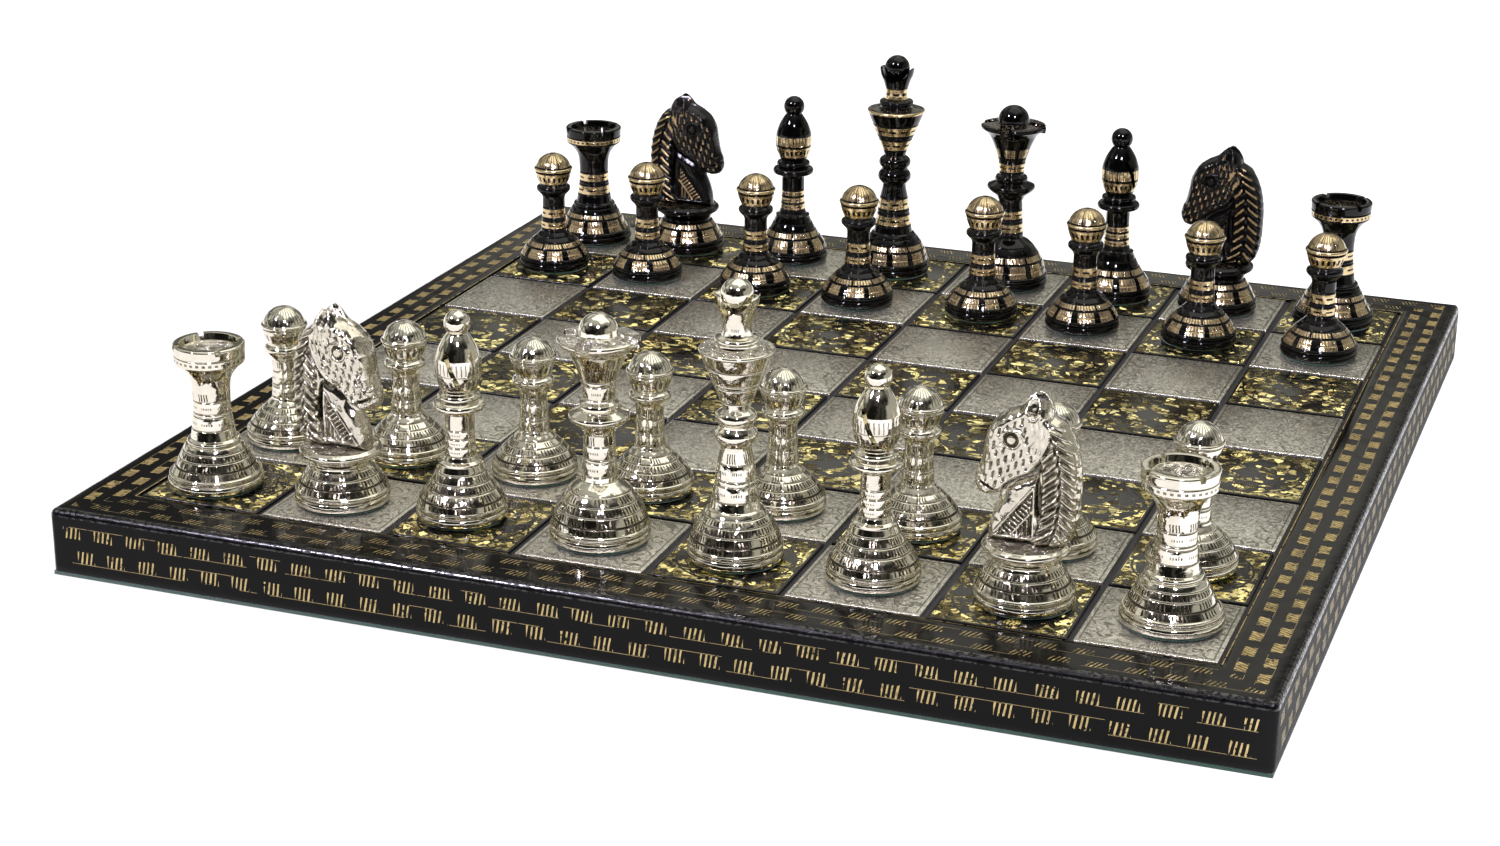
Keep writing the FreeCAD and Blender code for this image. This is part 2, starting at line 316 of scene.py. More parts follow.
def faceted(w, straight, where, scale, lean):
    """The normal with every small patch leaning its own way, as chisel marks do."""
    chip = w.node("TexVoronoi", {}, {"Vector": where, "Scale": scale}, out="Color")
    way = w.node("VectorMath", {"operation": "SUBTRACT"}, [chip, (0.5, 0.5, 0.5)])
    way = w.node("VectorMath", {"operation": "SCALE"}, {0: way, "Scale": lean})
    leaning = w.node("VectorMath", {"operation": "ADD"}, [straight, way])
    return w.node("VectorMath", {"operation": "NORMALIZE"}, [leaning])


def meander(w, along, place, low, high, pitch, stroke, seed, duty=0.36, lean=-0.5):
    """Hand-cut row from low to high: groups of slanting strokes between two faint ruled lines."""
    across = (place - low) / (high - low)
    step = along / pitch + seed
    luck = w.random(step.floor() + seed * 7.0)
    share = step.fract() + (luck - 0.5) * 0.05
    wobble = w.noise(w.joined(along, across, seed), 0.35, 2.0) - 0.5
    ragged = across + (w.noise(w.joined(along, 0.0, seed), 0.9, 2.0) - 0.5) * 0.3
    marks = (share * (pitch / stroke) + across * lean + wobble * 0.6).fract() < duty
    group = share.between(0.05, 0.6) * ragged.between(0.08, 0.92)
    long = w.noise(w.joined(along * 0.05, seed, 0.0), 1.0, 1.0)
    rules = across.between(0.93, 0.97) * (long > 0.53) + across.between(0.03, 0.07) * (long < 0.5)
    worn = w.noise(w.joined(along, across * 3.0, seed), 1.1, 3.0) > 0.36
    return (marks * group).biggest(rules * 0.5) * worn * place.between(low, high)


def wrap_finish():
    """Gloss black lacquer with the brass showing in the strokes."""
    material, w = new_finish("black_lacquered_wrap")
    where = place_of(w)
    x, y, z = where.split()
    wide, deep = abs(x), abs(y)
    along = y.chosen(x, deep > wide)
    inset = REACH / MM - wide.biggest(deep)
    flat = z > BOARD_TOP / MM - 0.9
    duty = (deep > wide) * -0.41 + 0.75
    rim_inner = meander(w, along, inset, 9.6, 12.8, 8.7, 1.15, 3.0, duty, -1.2)
    rim_outer = meander(w, along, inset, 3.9, 7.1, 8.7, 1.15, 8.5, duty, -1.2)
    rim_line = inset.between(15.25, 15.5) * (w.noise(where, 0.5, 2.0) > 0.4)
    side_upper = meander(w, along, z, 10.2, 13.6, 9.2, 1.25, 1.25)
    side_lower = meander(w, along, z, 3.8, 7.6, 8.7, 1.25, 5.7)
    ends = abs(along) < 148.5
    cut = flat * (rim_inner + rim_outer + rim_line) + (1 - flat) * (side_upper + side_lower) * ends
    cut = cut.math("MINIMUM", cut, 1.0)
    ripple = w.noise(where, 0.1, 2.0)
    speck = w.noise(where, 4.0, 3.0)
    tarnish = w.noise(where, 0.6, 3.0)
    brass = w.blended(tarnish, (0.34, 0.26, 0.11), BRASS)
    colour = w.blended(cut, grey(0.0015), brass)
    fold = (z > BOARD_TOP / MM - 1.9) * (inset < 1.7)
    grain = w.noise(where, 1.1, 3.0, 0.6)
    scraped = 0.26 + tarnish * 0.1 + (1 - (deep > wide)) * flat * 0.2
    matt = (1 - (deep > wide)) * (1 - flat) * (1 - fold)
    rough = (0.06 + ripple * 0.05 + speck * 0.02).chosen(0.2 + grain * 0.12, fold)
    rough = rough.chosen(0.4 + grain * 0.3, matt).chosen(scraped, cut)
    height = ripple * 0.9 + speck * 0.03 - cut * 0.15 + (fold + matt) * grain * 1.1
    return shaded(material, w, {
        "Base Color": colour, "Metallic": cut, "Roughness": rough, "Specular IOR Level": 0.14,
        "Coat Weight": fold * grain.eased(0.42, 0.56), "Coat Roughness": 0.15, "Coat IOR": 1.6,
        "Normal": faceted(w, w.bump(height, 0.0002, 0.7), where, 0.9, cut * 0.5)})


brass_wrap(wrap_finish())

# ----------------------------------------
# Tiles.
# Sixty-four thin brass plates pressed into the top. Half are silvered and etched with faint
# scrolls, half are lacquered black and cut through to bright brass in petals and strokes.

PITCH = FIELD / 8
TILE = 32.6 * MM


def tiles(name, parity, finish, node):
    """Every second tile of the field, each with softened edges and seated very slightly off level."""
    work = bmesh.new()
    for column in range(8):
        for row in range(8):
            if (column + row) % 2 != parity:
                continue
            height = BOARD_TOP - SHEET / 2 - 0.02 * MM
            middle = Vector(((column - 3.5) * PITCH, (row - 3.5) * PITCH, height))
            sway = [math.radians(0.07) * noise.noise(middle * 90 + Vector((k, 1, 2))) for k in (0, 5)]
            tilt = Euler((sway[0], sway[1], 0)).to_matrix().to_4x4()
            seat = Matrix.Translation(middle) @ tilt @ Matrix.Diagonal((TILE, TILE, SHEET, 1))
            bmesh.ops.create_cube(work, size=1.0, matrix=seat)
    upper = BOARD_TOP - SHEET / 2
    edges = [edge for edge in work.edges if all(vertex.co.z > upper for vertex in edge.verts)]
    bmesh.ops.bevel(
        work, geom=edges, offset=0.22 * MM, segments=3, profile=0.5, affect="EDGES", clamp_overlap=True)
    mesh = bpy.data.meshes.new(name)
    work.to_mesh(mesh)
    work.free()
    mesh.shade_smooth()
    mesh.set_sharp_from_angle(angle=math.radians(40))
    piece = placed(name, mesh)
    coat(piece, finish)
    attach(piece, "board")
    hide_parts(node)


def tile_place(w):
    """Place within a tile, in millimetres from its middle, and a number for each tile."""
    x, y, z = place_of(w).split()
    pitch = PITCH / MM
    column, row = x / pitch + 4.0, y / pitch + 4.0
    u = (column.fract() - 0.5) * pitch
    v = (row.fract() - 0.5) * pitch
    return u, v, column.floor() + row.floor() * 9.7


def silver_tile_finish():
    material, w = new_finish("etched_silver_tile")
    u, v, tile = tile_place(w)
    where = w.joined(u, v, tile)
    warp = w.noise(where, 0.2, 2.0)
    bent = w.joined(u + warp * 7.0, v - warp * 7.0, tile)
    curl = w.node("TexVoronoi", {}, {"Vector": bent, "Scale": 0.19}, out="Distance")
    line = abs((curl * 3.4).fract() - 0.5) < 0.13
    edge = abs(u).biggest(abs(v))
    zone = (edge + (w.noise(where, 0.16) - 0.5) * 10.0).eased(8.0, 11.0) * (edge < 15.2)
    scroll = line * zone * w.noise(where, 0.7, 2.0).eased(0.34, 0.46)
    stipple = w.noise(where, 3.0, 4.0, 0.75)
    brush = w.noise(w.joined(u * 5.0, v * 0.25, tile), 1.0, 3.0)
    cloud = w.noise(where, 0.09, 2.0)
    frame_line = edge.between(15.0, 15.4)
    tone = stipple * 0.4 + brush * 0.25 + cloud * 0.35
    colour = w.blended(tone, (0.4, 0.385, 0.31), (0.82, 0.8, 0.69))
    colour = w.blended(scroll.biggest(frame_line) * 0.75, colour, (0.1, 0.095, 0.075))
    height = stipple * 0.9 + brush * 0.3 - scroll * 0.7
    straight = w.bump(height, 0.00012, 0.8)
    return shaded(material, w, {
        "Base Color": colour, "Metallic": 0.92, "Roughness": 0.2 + stipple * 0.14 + scroll * 0.15,
        "Normal": faceted(w, straight, where, 1.7, 0.3)})


def gold_tile_finish():
    material, w = new_finish("cut_brass_tile")
    u, v, tile = tile_place(w)
    where = w.joined(u, v, tile)
    out = w.math("SQRT", u * u + v * v)
    turn = w.math("ARCTAN2", v, u)
    edge = abs(u).biggest(abs(v))
    wander = w.noise(where, 0.3, 3.0) - 0.5
    petal = w.joined(turn * 3.2 + wander * 1.5, out * 0.42 + wander * 1.2, tile)
    cells = {"Vector": petal, "Scale": 0.75, "Randomness": 1.0}
    gap = w.node("TexVoronoi", {"feature": "DISTANCE_TO_EDGE"}, cells, out="Distance")
    chip = w.node("TexVoronoi", {}, cells, out="Color")
    chip_x, chip_y, chip_z = chip.split()
    stroke = (w.noise(w.joined(u * 0.33, v * 1.5, tile), 0.6, 2.0, 0.55) + chip_x * 0.25) > 0.55
    petals = (gap > 0.05) * (chip_z > 0.18) * stroke
    fine = abs((turn * 14.0 + out * 0.2 + wander * 3.0).fract() - 0.5) < 0.36
    middle = (abs(u) + abs(v) + wander * 3.0) > 4.6
    ring = 1 - out.between(14.0, 14.6)
    inside = (out < 14.1) * petals * middle * (fine.biggest(chip_y > 0.4))
    spandrel = (out > 14.6) * (edge < 15.2) * (w.noise(where, 0.8, 2.0) > 0.46)
    outline = edge.between(15.3, 15.6) * (w.noise(where, 0.7) > 0.45)
    cut = ring * (inside + spandrel) + outline
    cut = cut.math("MINIMUM", cut, 1.0)
    shade = w.noise(where, 0.9, 3.0)
    brass = w.blended(shade * 0.6 + chip_y * 0.4, (0.8, 0.62, 0.19), (1.0, 0.92, 0.48))
    colour = w.blended(cut, grey(0.002), brass)
    rough = (0.12 + shade * 0.1).chosen(0.13 + shade * 0.1, cut)
    straight = w.bump(shade * 0.5 - cut * 0.5, 0.0002, 0.8)
    return shaded(material, w, {
        "Base Color": colour, "Metallic": cut, "Roughness": rough,
        "Normal": faceted(w, straight, where, 0.45, cut * 1.0)})


tiles("silvered_tiles", 1, silver_tile_finish(), "silver_squares")
tiles("brass_tiles", 0, gold_tile_finish(), "gold_squares")

# ----------------------------------------
# Turned castings: the shared outline tool.
# Every piece but a horse's head is cast in brass, turned on a lathe, ringed with V cuts, and its
# bands are chased by hand with groups of fine strokes.

PLAIN, BRICK, DASHED, BEADED, RAYED, STIPPLED, RING, GROOVE, FAINT, FULL, JOINT = range(11)
PAD = 0.8
GROOVE_WIDTH = 0.36
GROOVE_DEPTH = 0.22


def spline(a, b, c, d, t):
    """The point t of the way from b to c on a smooth line through four knots."""
    bend = (2 * a - 5 * b + 4 * c - d) * t * t
    twist = (3 * b - a - 3 * c + d) * t ** 3
    return 0.5 * (2 * b + (c - a) * t + bend + twist)


class Turning:
    """Half outline of a casting from its foot up, as radius and height in millimetres.

    Each stretch carries the kind of cuts worked into it and how many of them go round."""

    def __init__(self, radius, height):
        self.rows = [(radius, height)]
        self.cuts = []

    def line(self, radius, height, cut=PLAIN, count=0.0, start=0.0, end=1.0):
        self.rows.append((radius, height))
        self.cuts.append((cut, count, start, end))

    def run(self, points, cut=PLAIN, count=0.0):
        """Several short lines that share one band of cuts."""
        steps = [math.dist(a, b) for a, b in zip([self.rows[-1]] + points, points)]
        whole = sum(steps)
        done = 0.0
        for point, step in zip(points, steps):
            self.line(point[0], point[1], cut, count, done / whole, (done + step) / whole)
            done += step

    def arc(self, middle, end, cut=PLAIN, count=0.0):
        """Round stretch through a middle point."""
        a, b, c = (Vector(p) for p in (self.rows[-1], middle, end))
        d = 2 * ((b - a).x * (c - a).y - (b - a).y * (c - a).x)
        ab, ac = (b - a).length_squared, (c - a).length_squared
        centre = a + Vector(((c - a).y * ab - (b - a).y * ac, (b - a).x * ac - (c - a).x * ab)) / d
        first, second, third = (math.atan2(p.y - centre.y, p.x - centre.x) for p in (a, b, c))
        sweep = (third - first) % (2 * math.pi)
        if not 0 < (second - first) % (2 * math.pi) < sweep:
            sweep -= 2 * math.pi
        steps = max(4, int(abs(sweep) / math.radians(11)))
        radius = (a - centre).length
        turns = [first + sweep * (step + 1) / steps for step in range(steps)]
        points = [(centre.x + radius * math.cos(t), centre.y + radius * math.sin(t)) for t in turns[:-1]]
        self.run(points + [tuple(end)], cut, count)

    def dome(self, top, cut=PLAIN, count=0.0):
        """Part of a ball centred on the axis, up to its top."""
        r, z = self.rows[-1]
        centre = (top * top - z * z - r * r) / (2 * (top - z))
        ball = top - centre
        first = math.atan2(z - centre, r)
        steps = max(8, int((math.pi / 2 - first) / math.radians(8)))
        turns = [first + (math.pi / 2 - first) * (step + 1) / steps for step in range(steps - 1)]
        points = [(ball * math.cos(t), centre + ball * math.sin(t)) for t in turns]
        self.run(points + [(0.0, top)], cut, count)

    def curve(self, points, cut=PLAIN, count=0.0):
        """Smooth stretch through several points."""
        knots = [Vector(p) for p in [self.rows[-1]] + points]
        knots = [2 * knots[0] - knots[1]] + knots + [2 * knots[-1] - knots[-2]]
        smooth = []
        for a, b, c, d in zip(knots, knots[1:], knots[2:], knots[3:]):
            smooth += [tuple(spline(a, b, c, d, step / 4)) for step in range(1, 5)]
        self.run(smooth, cut, count)

    def bands(self, *rows):
        """Straight runs, each with its cuts if it has any, and a V cut ring between each two."""
        rows = [(*row, PLAIN, 0)[:4] for row in rows]
        for number, (radius, height, cut, count) in enumerate(rows):
            here, there = Vector(self.rows[-1]), Vector((radius, height))
            along = (there - here).normalized()
            if number == len(rows) - 1:
                self.line(radius, height, cut, count)
                continue
            lower = there - along * GROOVE_WIDTH / 2
            upper = there + along * GROOVE_WIDTH / 2
            deep = there + Vector((-along.y, along.x)) * GROOVE_DEPTH
            groove = JOINT if cut == BRICK and rows[number + 1][2] == BRICK else GROOVE
            self.line(lower.x, lower.y, cut, count)
            self.line(deep.x, deep.y, groove, count)
            self.line(upper.x, upper.y, groove, count)

    def softened(self, reach=0.14):
        """The rows with every sharp corner eased by a small round, as plating leaves it."""
        rows, cuts = [self.rows[0]], []
        for number in range(1, len(self.rows)):
            a, b = Vector(self.rows[number - 1]), Vector(self.rows[number])
            cut = self.cuts[number - 1]
            last = number == len(self.rows) - 1
            c = b if last else Vector(self.rows[number + 1])
            sharp = not last and (b - a).length > 1e-6 and (c - b).length > 1e-6
            sharp = sharp and (b - a).angle(c - b) > math.radians(17)
            if not sharp:
                rows.append(tuple(b))
                cuts.append(cut)
                continue
            joints = [near for near in (cut, self.cuts[number]) if near[0] == JOINT]
            soft = joints[0] if joints else (PLAIN, 0.0, 0.0, 0.0)
            before = b + (a - b) * min(reach / (a - b).length, 0.34)
            after = b + (c - b) * min(reach / (c - b).length, 0.34)
            corner = (before + after) / 4 + b / 2
            rows += [tuple(before), tuple(corner), tuple(after)]
            cuts += [cut, soft, soft]
        return rows, cuts

    def mesh(self, name, around, trim=None):
        """The turned surface, closed on the axis. trim(x, y, z) may lower a point, for notches in a rim."""
        rows, cuts = self.softened()
        verts, faces, spots = [], [], []
        for radius, z in rows[:-1]:
            for step in range(around):
                turn = 2 * math.pi * step / around
                x, y = radius * math.cos(turn), radius * math.sin(turn)
                verts.append((x, y, trim(x, y, z) if trim else z))
        peak = len(verts)
        verts.append((0.0, 0.0, rows[-1][1]))
        for ring, (cut, count, start, end) in enumerate(cuts):
            for step in range(around):
                a, b = ring * around + step, ring * around + (step + 1) % around
                left, right = count * step / around, count * (step + 1) / around
                spots += [(left, start, cut), (right, start, cut)]
                if a + around < peak:
                    faces.append((a, b, b + around, a + around))
                    spots += [(right, end, cut), (left, end, cut)]
                else:
                    faces.append((a, b, peak))
                    spots.append(((left + right) / 2, end, cut))
        faces.append(tuple(reversed(range(around))))
        spots += [(0.0, 0.0, 0.0)] * around
        mesh = bpy.data.meshes.new(name)
        mesh.from_pydata([(x * MM, y * MM, z * MM) for x, y, z in verts], [], faces)
        chased = mesh.attributes.new("chased", "FLOAT_VECTOR", "CORNER")
        chased.data.foreach_set("vector", np.array(spots, np.float32).ravel())
        mesh.shade_smooth()
        mesh.set_sharp_from_angle(angle=math.radians(60))
        if trim:
            weld(mesh, 2e-6, 1e-6)
            mesh.set_sharp_from_angle(angle=math.radians(35))
        return mesh


def foot(radius):
    """Plain plinth of every piece, with the cut above it."""
    t = Turning(radius - 0.5, PAD)
    t.run([
        (radius - 0.14, PAD + 0.22), (radius - 0.03, PAD + 0.6), (radius, PAD + 0.95), (radius - 0.04, 2.2)])
    t.run([(radius - 0.16, 2.58), (radius - 0.36, 2.84), (radius - 0.6, 2.95)])
    t.line(radius - 0.85, 2.95)
    t.line(radius - 0.85, 3.3, GROOVE)
    return t


def chased_masks(w):
    """Where the chased strokes lie: the bright share of each band, and the strokes cut into it."""
    where = w.node("Attribute", {"attribute_name": "chased"}, [], out="Vector")
    place, across, kind = where.split()
    own = place_of(w)
    wobble = w.noise(own, 0.9, 2.0) - 0.5

    def is_kind(number):
        return abs(kind - float(number)) < 0.5

    share = (place + across * 0.02).fract()
    inside = across.between(0.05, 0.95)
    luck = w.random(place.floor())
    short = share.between(0.02, luck * 0.22 + 0.6)
    stroke = abs((share * 7.0 + wobble * 0.8).fract() - 0.5) < 0.24
    block = is_kind(BRICK) * short + is_kind(FULL) * share.between(0.02, 0.92)
    hatched = block + is_kind(FAINT) * share.between(0.3, 0.86)
    dash = across.between(0.4, 0.6) * share.between(0.2, 0.85)
    bead = across.between(0.3, 0.72) * share.between(0.25, 0.75)
    ray = abs((share * 4.0 + wobble * 0.4).fract() - 0.5) < 0.13
    wedge = share.between(0.0, 0.93) * across.between(0.04, 0.86)
    stipple = w.noise(own, 2.4, 3.0, 0.7)
    bright = block * inside * (1 - stroke * 0.8)
    bright = bright + is_kind(DASHED) * across.between(0.06, 0.94) * (1 - dash)
    bright = bright + is_kind(BEADED) * across.between(0.08, 0.94) * (1 - bead)
    bright = bright + is_kind(RAYED) * wedge * (1 - ray * 0.85)
    bright = bright + is_kind(RING) + is_kind(STIPPLED) * (stipple > 0.6) * 0.5
    bright = bright + is_kind(JOINT) * short * 0.8
    stroked = hatched * inside * stroke + is_kind(DASHED) * dash * stroke * 0.8
    stroked = stroked + is_kind(BEADED) * bead * 0.8 + is_kind(RAYED) * wedge * ray * 0.8
    stroked = stroked + (is_kind(GROOVE) + is_kind(JOINT)) * 0.95
    stroked = stroked + is_kind(STIPPLED) * stipple.eased(0.45, 0.6) * 0.6
    return own, bright, stroked, is_kind(STIPPLED)


def nickel_finish():
    """Bright nickel plate, a little uneven from the casting, darker in the strokes."""
    material, w = new_finish("bright_nickel")
    own, bright, stroked, rough_part = chased_masks(w)
    wave = w.noise(own, 0.28, 2.0)
    fine = w.noise(own, 1.9, 3.0)
    film = w.noise(own, 0.5, 2.0)
    plate = w.blended(film, (0.74, 0.7, 0.57), (0.88, 0.85, 0.74))
    colour = w.blended(stroked * 0.95, plate, (0.06, 0.05, 0.03))
    rough = 0.03 + film * 0.04 + stroked * 0.2 + rough_part * 0.1
    height = wave * 0.9 + fine * 0.12 - stroked * 0.9
    straight = w.bump(height, 0.00018, 0.85)
    return shaded(material, w, {
        "Base Color": colour, "Metallic": 1.0, "Roughness": rough,
        "Normal": faceted(w, straight, own, 0.7, 0.05 + stroked * 0.4 + rough_part * 0.5)})


def black_finish():
    """Gloss black lacquer, ground off the chased bands to bare brass."""
    material, w = new_finish("black_lacquer_and_brass")
    own, bright, stroked, rough_part = chased_masks(w)
    wave = w.noise(own, 0.3, 2.0)
    worn = w.noise(own, 1.3, 3.0)
    brass = w.blended(worn, (0.52, 0.38, 0.19), (0.88, 0.73, 0.44))
    cut = bright.math("MINIMUM", bright, 1.0)
    colour = w.blended(cut, grey(0.001), brass)
    rough = (0.03 + wave * 0.04).chosen(0.16 + worn * 0.1, cut)
    height = wave * 0.7 - cut * 0.25
    straight = w.bump(height, 0.00015, 0.7)
    return shaded(material, w, {
        "Base Color": colour, "Metallic": cut, "Roughness": rough, "Specular IOR Level": 0.3,
        "Normal": faceted(w, straight, own, 0.6, cut * 0.16)})


METAL = {"silver": nickel_finish(), "black": black_finish()}


def seat_of(node):
    """The spot on the board's top under the middle of a CAD part."""
    low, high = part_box(node)
    return Vector(((low.x + high.x) / 2, (low.y + high.y) / 2, BOARD_TOP))


def stand(name, part, mesh, node, turn=0.0, spot=None):
    """Puts a casting on the axis of its CAD part and lets it ride on that piece's body."""
    side = name.split("_")[0]
    piece = placed(name + "_" + part, mesh.copy())
    piece.location = seat_of(spot or node)
    piece.rotation_euler = (0, 0, turn)
    coat(piece, METAL[side])
    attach(piece, name)
    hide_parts(node)
    return piece


def pad(name, radius):
    """Hand-cut felt disc under a piece, not quite round and not quite central.

    A pawn's pad has no CAD part of its own."""
    node = name + "_felt"
    middle = seat_of(node if node in nodes else name)
    seed = middle * 700
    slip = Vector((noise.noise(seed), noise.noise(seed + Vector((5, 2, 1))), 0)) * 0.35
    around = 96
    rows = [(0.0, 0.04), (0.95, 0.04), (1.0, 0.3), (1.0, 0.6), (0.97, PAD + 0.02), (0.0, PAD + 0.02)]
    verts, faces = [], []
    for share, height in rows:
        for step in range(around):
            turn = 2 * math.pi * step / around
            way = Vector((math.cos(turn), math.sin(turn), 0))
            ragged = 0.22 * noise.noise(way * 2.2 + seed) + 0.12 * noise.noise(way * 14 + seed)
            point = way * share * (radius - 0.6 + ragged) + slip * min(share * 2, 1)
            verts.append((point.x * MM, point.y * MM, height * MM))
    for ring in range(len(rows) - 1):
        for step in range(around):
            a, b = ring * around + step, ring * around + (step + 1) % around
            faces.append((a, b, b + around, a + around))
    mesh = bpy.data.meshes.new(name + "_pad")
    mesh.from_pydata(verts, [], faces)
    weld(mesh, 1e-7)
    mesh.shade_smooth()
    piece = placed(name + "_pad", mesh)
    piece.location = middle
    coat(piece, baize)
    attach(piece, name)
    if node in nodes:
        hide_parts(node)


def set_piece(name, mesh, foot_radius, turn=0.0):
    """A piece cast in one, with its pad."""
    stand(name, "casting", mesh, name, turn)
    pad(name, foot_radius)


# ----------------------------------------
# Pawns.
# Short turned castings: a bell foot, a slim column and a ball head with chased cap and band.
# They stand loose on their squares, as every piece does, on a felt pad glued under the foot.


def pawn():
    t = foot(11.1)
    t.arc((10.95, 3.75), (10.6, 4.35))
    t.bands(
        (9.9, 5.7, BRICK, 9), (8.6, 7.4, BRICK, 9), (7.0, 9.1, FULL, 8), (5.4, 10.5, FAINT, 8),
        (4.5, 11.4))
    t.line(4.1, 11.8)
    t.bands((4.0, 12.6), (3.8, 15.4, DASHED, 7), (3.75, 16.1), (3.55, 19.6, DASHED, 7), (3.5, 20.6))
    t.line(3.5, 22.6, FAINT, 6)
    t.curve([(3.85, 23.5), (4.7, 24.4)])
    t.line(5.05, 24.8)
    t.arc((5.35, 25.6), (5.0, 26.4))
    t.line(4.4, 26.8)
    t.line(4.4, 27.2)
    t.curve([(4.95, 28.5), (5.4, 29.8), (5.65, 31.0)], BEADED, 20)
    t.line(5.4, 31.2, GROOVE)
    t.line(5.75, 31.4)
    t.arc((6.05, 31.9), (5.75, 32.4), RING)
    t.line(5.5, 32.55, GROOVE)
    t.dome(36.8, RAYED, 8)
    return t.mesh("pawn", 128)


PAWN = pawn()
for side in ("silver", "black"):
    for number, letter in enumerate("abcdefgh"):
        set_piece(side + "_pawn_" + letter, PAWN, 11.1, number * 1.1)

# ----------------------------------------
# Rooks.
# A bell foot and a stout column that flares to a round crown with a dished top and four nicks.


NICK_FLOOR = 36.5
NICK_HALF_TURN = 4.6
WALL_INSIDE = 6.6


def rook_trim(x, y, z):
    """Four nicks through the crown's wall, on the diagonals."""
    across = abs(math.degrees(math.atan2(y, x)) % 90 - 45)
    if math.hypot(x, y) > WALL_INSIDE and across < NICK_HALF_TURN:
        return min(z, NICK_FLOOR)
    return z


def rook():
    t = foot(12.1)
    t.arc((11.6, 3.6), (11.0, 4.3))
    t.bands((9.9, 6.1, BRICK, 9), (8.9, 8.2, BRICK, 9), (7.9, 10.1, FULL, 8), (7.1, 11.4))
    t.line(6.5, 11.6)
    t.arc((6.75, 12.2), (6.2, 12.8))
    t.line(5.7, 13.0)
    t.bands(
        (5.3, 15.6), (4.85, 19.0, DASHED, 7), (4.75, 19.9), (4.65, 23.0, DASHED, 7),
        (4.7, 25.4, FAINT, 6))
    t.curve([(4.9, 27.6), (5.6, 29.6), (7.1, 31.5), (8.6, 32.8)])
    t.line(8.75, 33.1)
    t.bands((8.8, 35.0, BEADED, 34), (8.9, 37.0))
    t.arc((8.9, 37.5), (8.5, 37.8))
    t.line(7.1, 37.8)
    t.line(6.9, 36.0)
    t.run([(5.0, 35.95), (3.0, 35.9), (1.4, 35.85), (0.0, 35.8)], STIPPLED, 10)
    return t.mesh("rook", 200, rook_trim)


ROOK = rook()
for side in ("silver", "black"):
    for letter in "ah":
        set_piece(side + "_rook_" + letter, ROOK, 12.1)

# ----------------------------------------
# Bishops.
# A slim column, a double collar and a mitre. The slanting kerf in the mitre is one saw cut.


def sawn(mesh, middle, radius, width, lean):
    """The mesh with one thin round blade's cut taken out of it."""
    blade_mesh = bpy.data.meshes.new("blade")
    work = bmesh.new()
    turn = Matrix.Rotation(lean, 4, "Y") @ Matrix.Rotation(math.pi / 2, 4, "Y")
    seat = Matrix.Translation(Vector(middle) * MM) @ turn
    round_blade = {"segments": 96, "radius1": radius * MM, "radius2": radius * MM, "depth": width * MM}
    bmesh.ops.create_cone(work, cap_ends=True, matrix=seat, **round_blade)
    work.to_mesh(blade_mesh)
    work.free()
    blade, stock = placed("blade", blade_mesh), placed("stock", mesh)
    cut = stock.modifiers.new("saw", "BOOLEAN")
    cut.operation = "DIFFERENCE"
    cut.solver = "EXACT"
    cut.object = blade
    bpy.context.view_layer.update()
    sheet = bpy.context.evaluated_depsgraph_get()
    done = bpy.data.meshes.new_from_object(stock.evaluated_get(sheet), depsgraph=sheet)
    bpy.data.objects.remove(blade)
    bpy.data.objects.remove(stock)
    done.set_sharp_from_angle(angle=math.radians(35))
    return done


def bishop():
    t = foot(11.3)
    t.arc((11.1, 3.75), (10.85, 4.35))
    t.bands(
        (10.3, 6.0, BRICK, 9), (8.7, 8.3, BRICK, 9), (7.3, 10.4, FULL, 8), (6.1, 12.6, FAINT, 8),
        (5.35, 14.3))
    t.line(5.4, 14.9)
    t.line(4.4, 15.3)
    t.bands(
        (3.95, 16.6), (3.8, 18.9, DASHED, 6), (3.65, 21.1, DASHED, 6), (3.6, 23.2, DASHED, 6),
        (3.6, 27.2))
    t.line(4.5, 28.0)
    t.line(6.0, 28.4)
    t.arc((6.45, 29.3), (5.9, 30.2))
    t.line(4.7, 30.5)
    t.line(5.0, 30.9)
    t.arc((5.25, 31.6), (4.9, 32.3))
    t.line(4.0, 32.7)
    t.curve([(4.6, 33.9)])
    t.curve([(5.3, 35.9), (5.6, 37.4)], BEADED, 22)
    t.line(5.55, 37.5, GROOVE)
    t.line(5.65, 37.7)
    t.curve([(5.7, 39.6), (5.55, 41.2)], RAYED, 8)
    t.curve([(5.4, 41.9), (4.6, 44.2), (3.4, 46.3), (2.4, 47.7)])
    t.dome(53.2)
    return sawn(t.mesh("bishop", 144), (0.0, -8.2, 39.6), 5.6, 1.2, math.radians(-22))


BISHOP = bishop()
BISHOP_TURN = {
    "silver_bishop_c": 0.1, "silver_bishop_f": -0.1, "black_bishop_c": -1.2, "black_bishop_f": 0.9}
for name, turn in BISHOP_TURN.items():
    set_piece(name, BISHOP, 11.3, turn)

# ----------------------------------------
# Queens.
# A tall bell and column, a collar, and a coronet that flares like a trumpet with four scallops
# cut in its lip and a ball on top.


LIP_TOP = 51.0
LIP_FOOT = 48.9
SCALLOP = 1.9


def queen_trim(x, y, z):
    """Four half-round scallops in the coronet's lip."""
    out, beside = max(abs(x), abs(y)), min(abs(x), abs(y))
    if out > 6.0 and beside < SCALLOP and z > LIP_FOOT:
        return min(z, LIP_TOP - math.sqrt(SCALLOP ** 2 - beside ** 2))
    return z


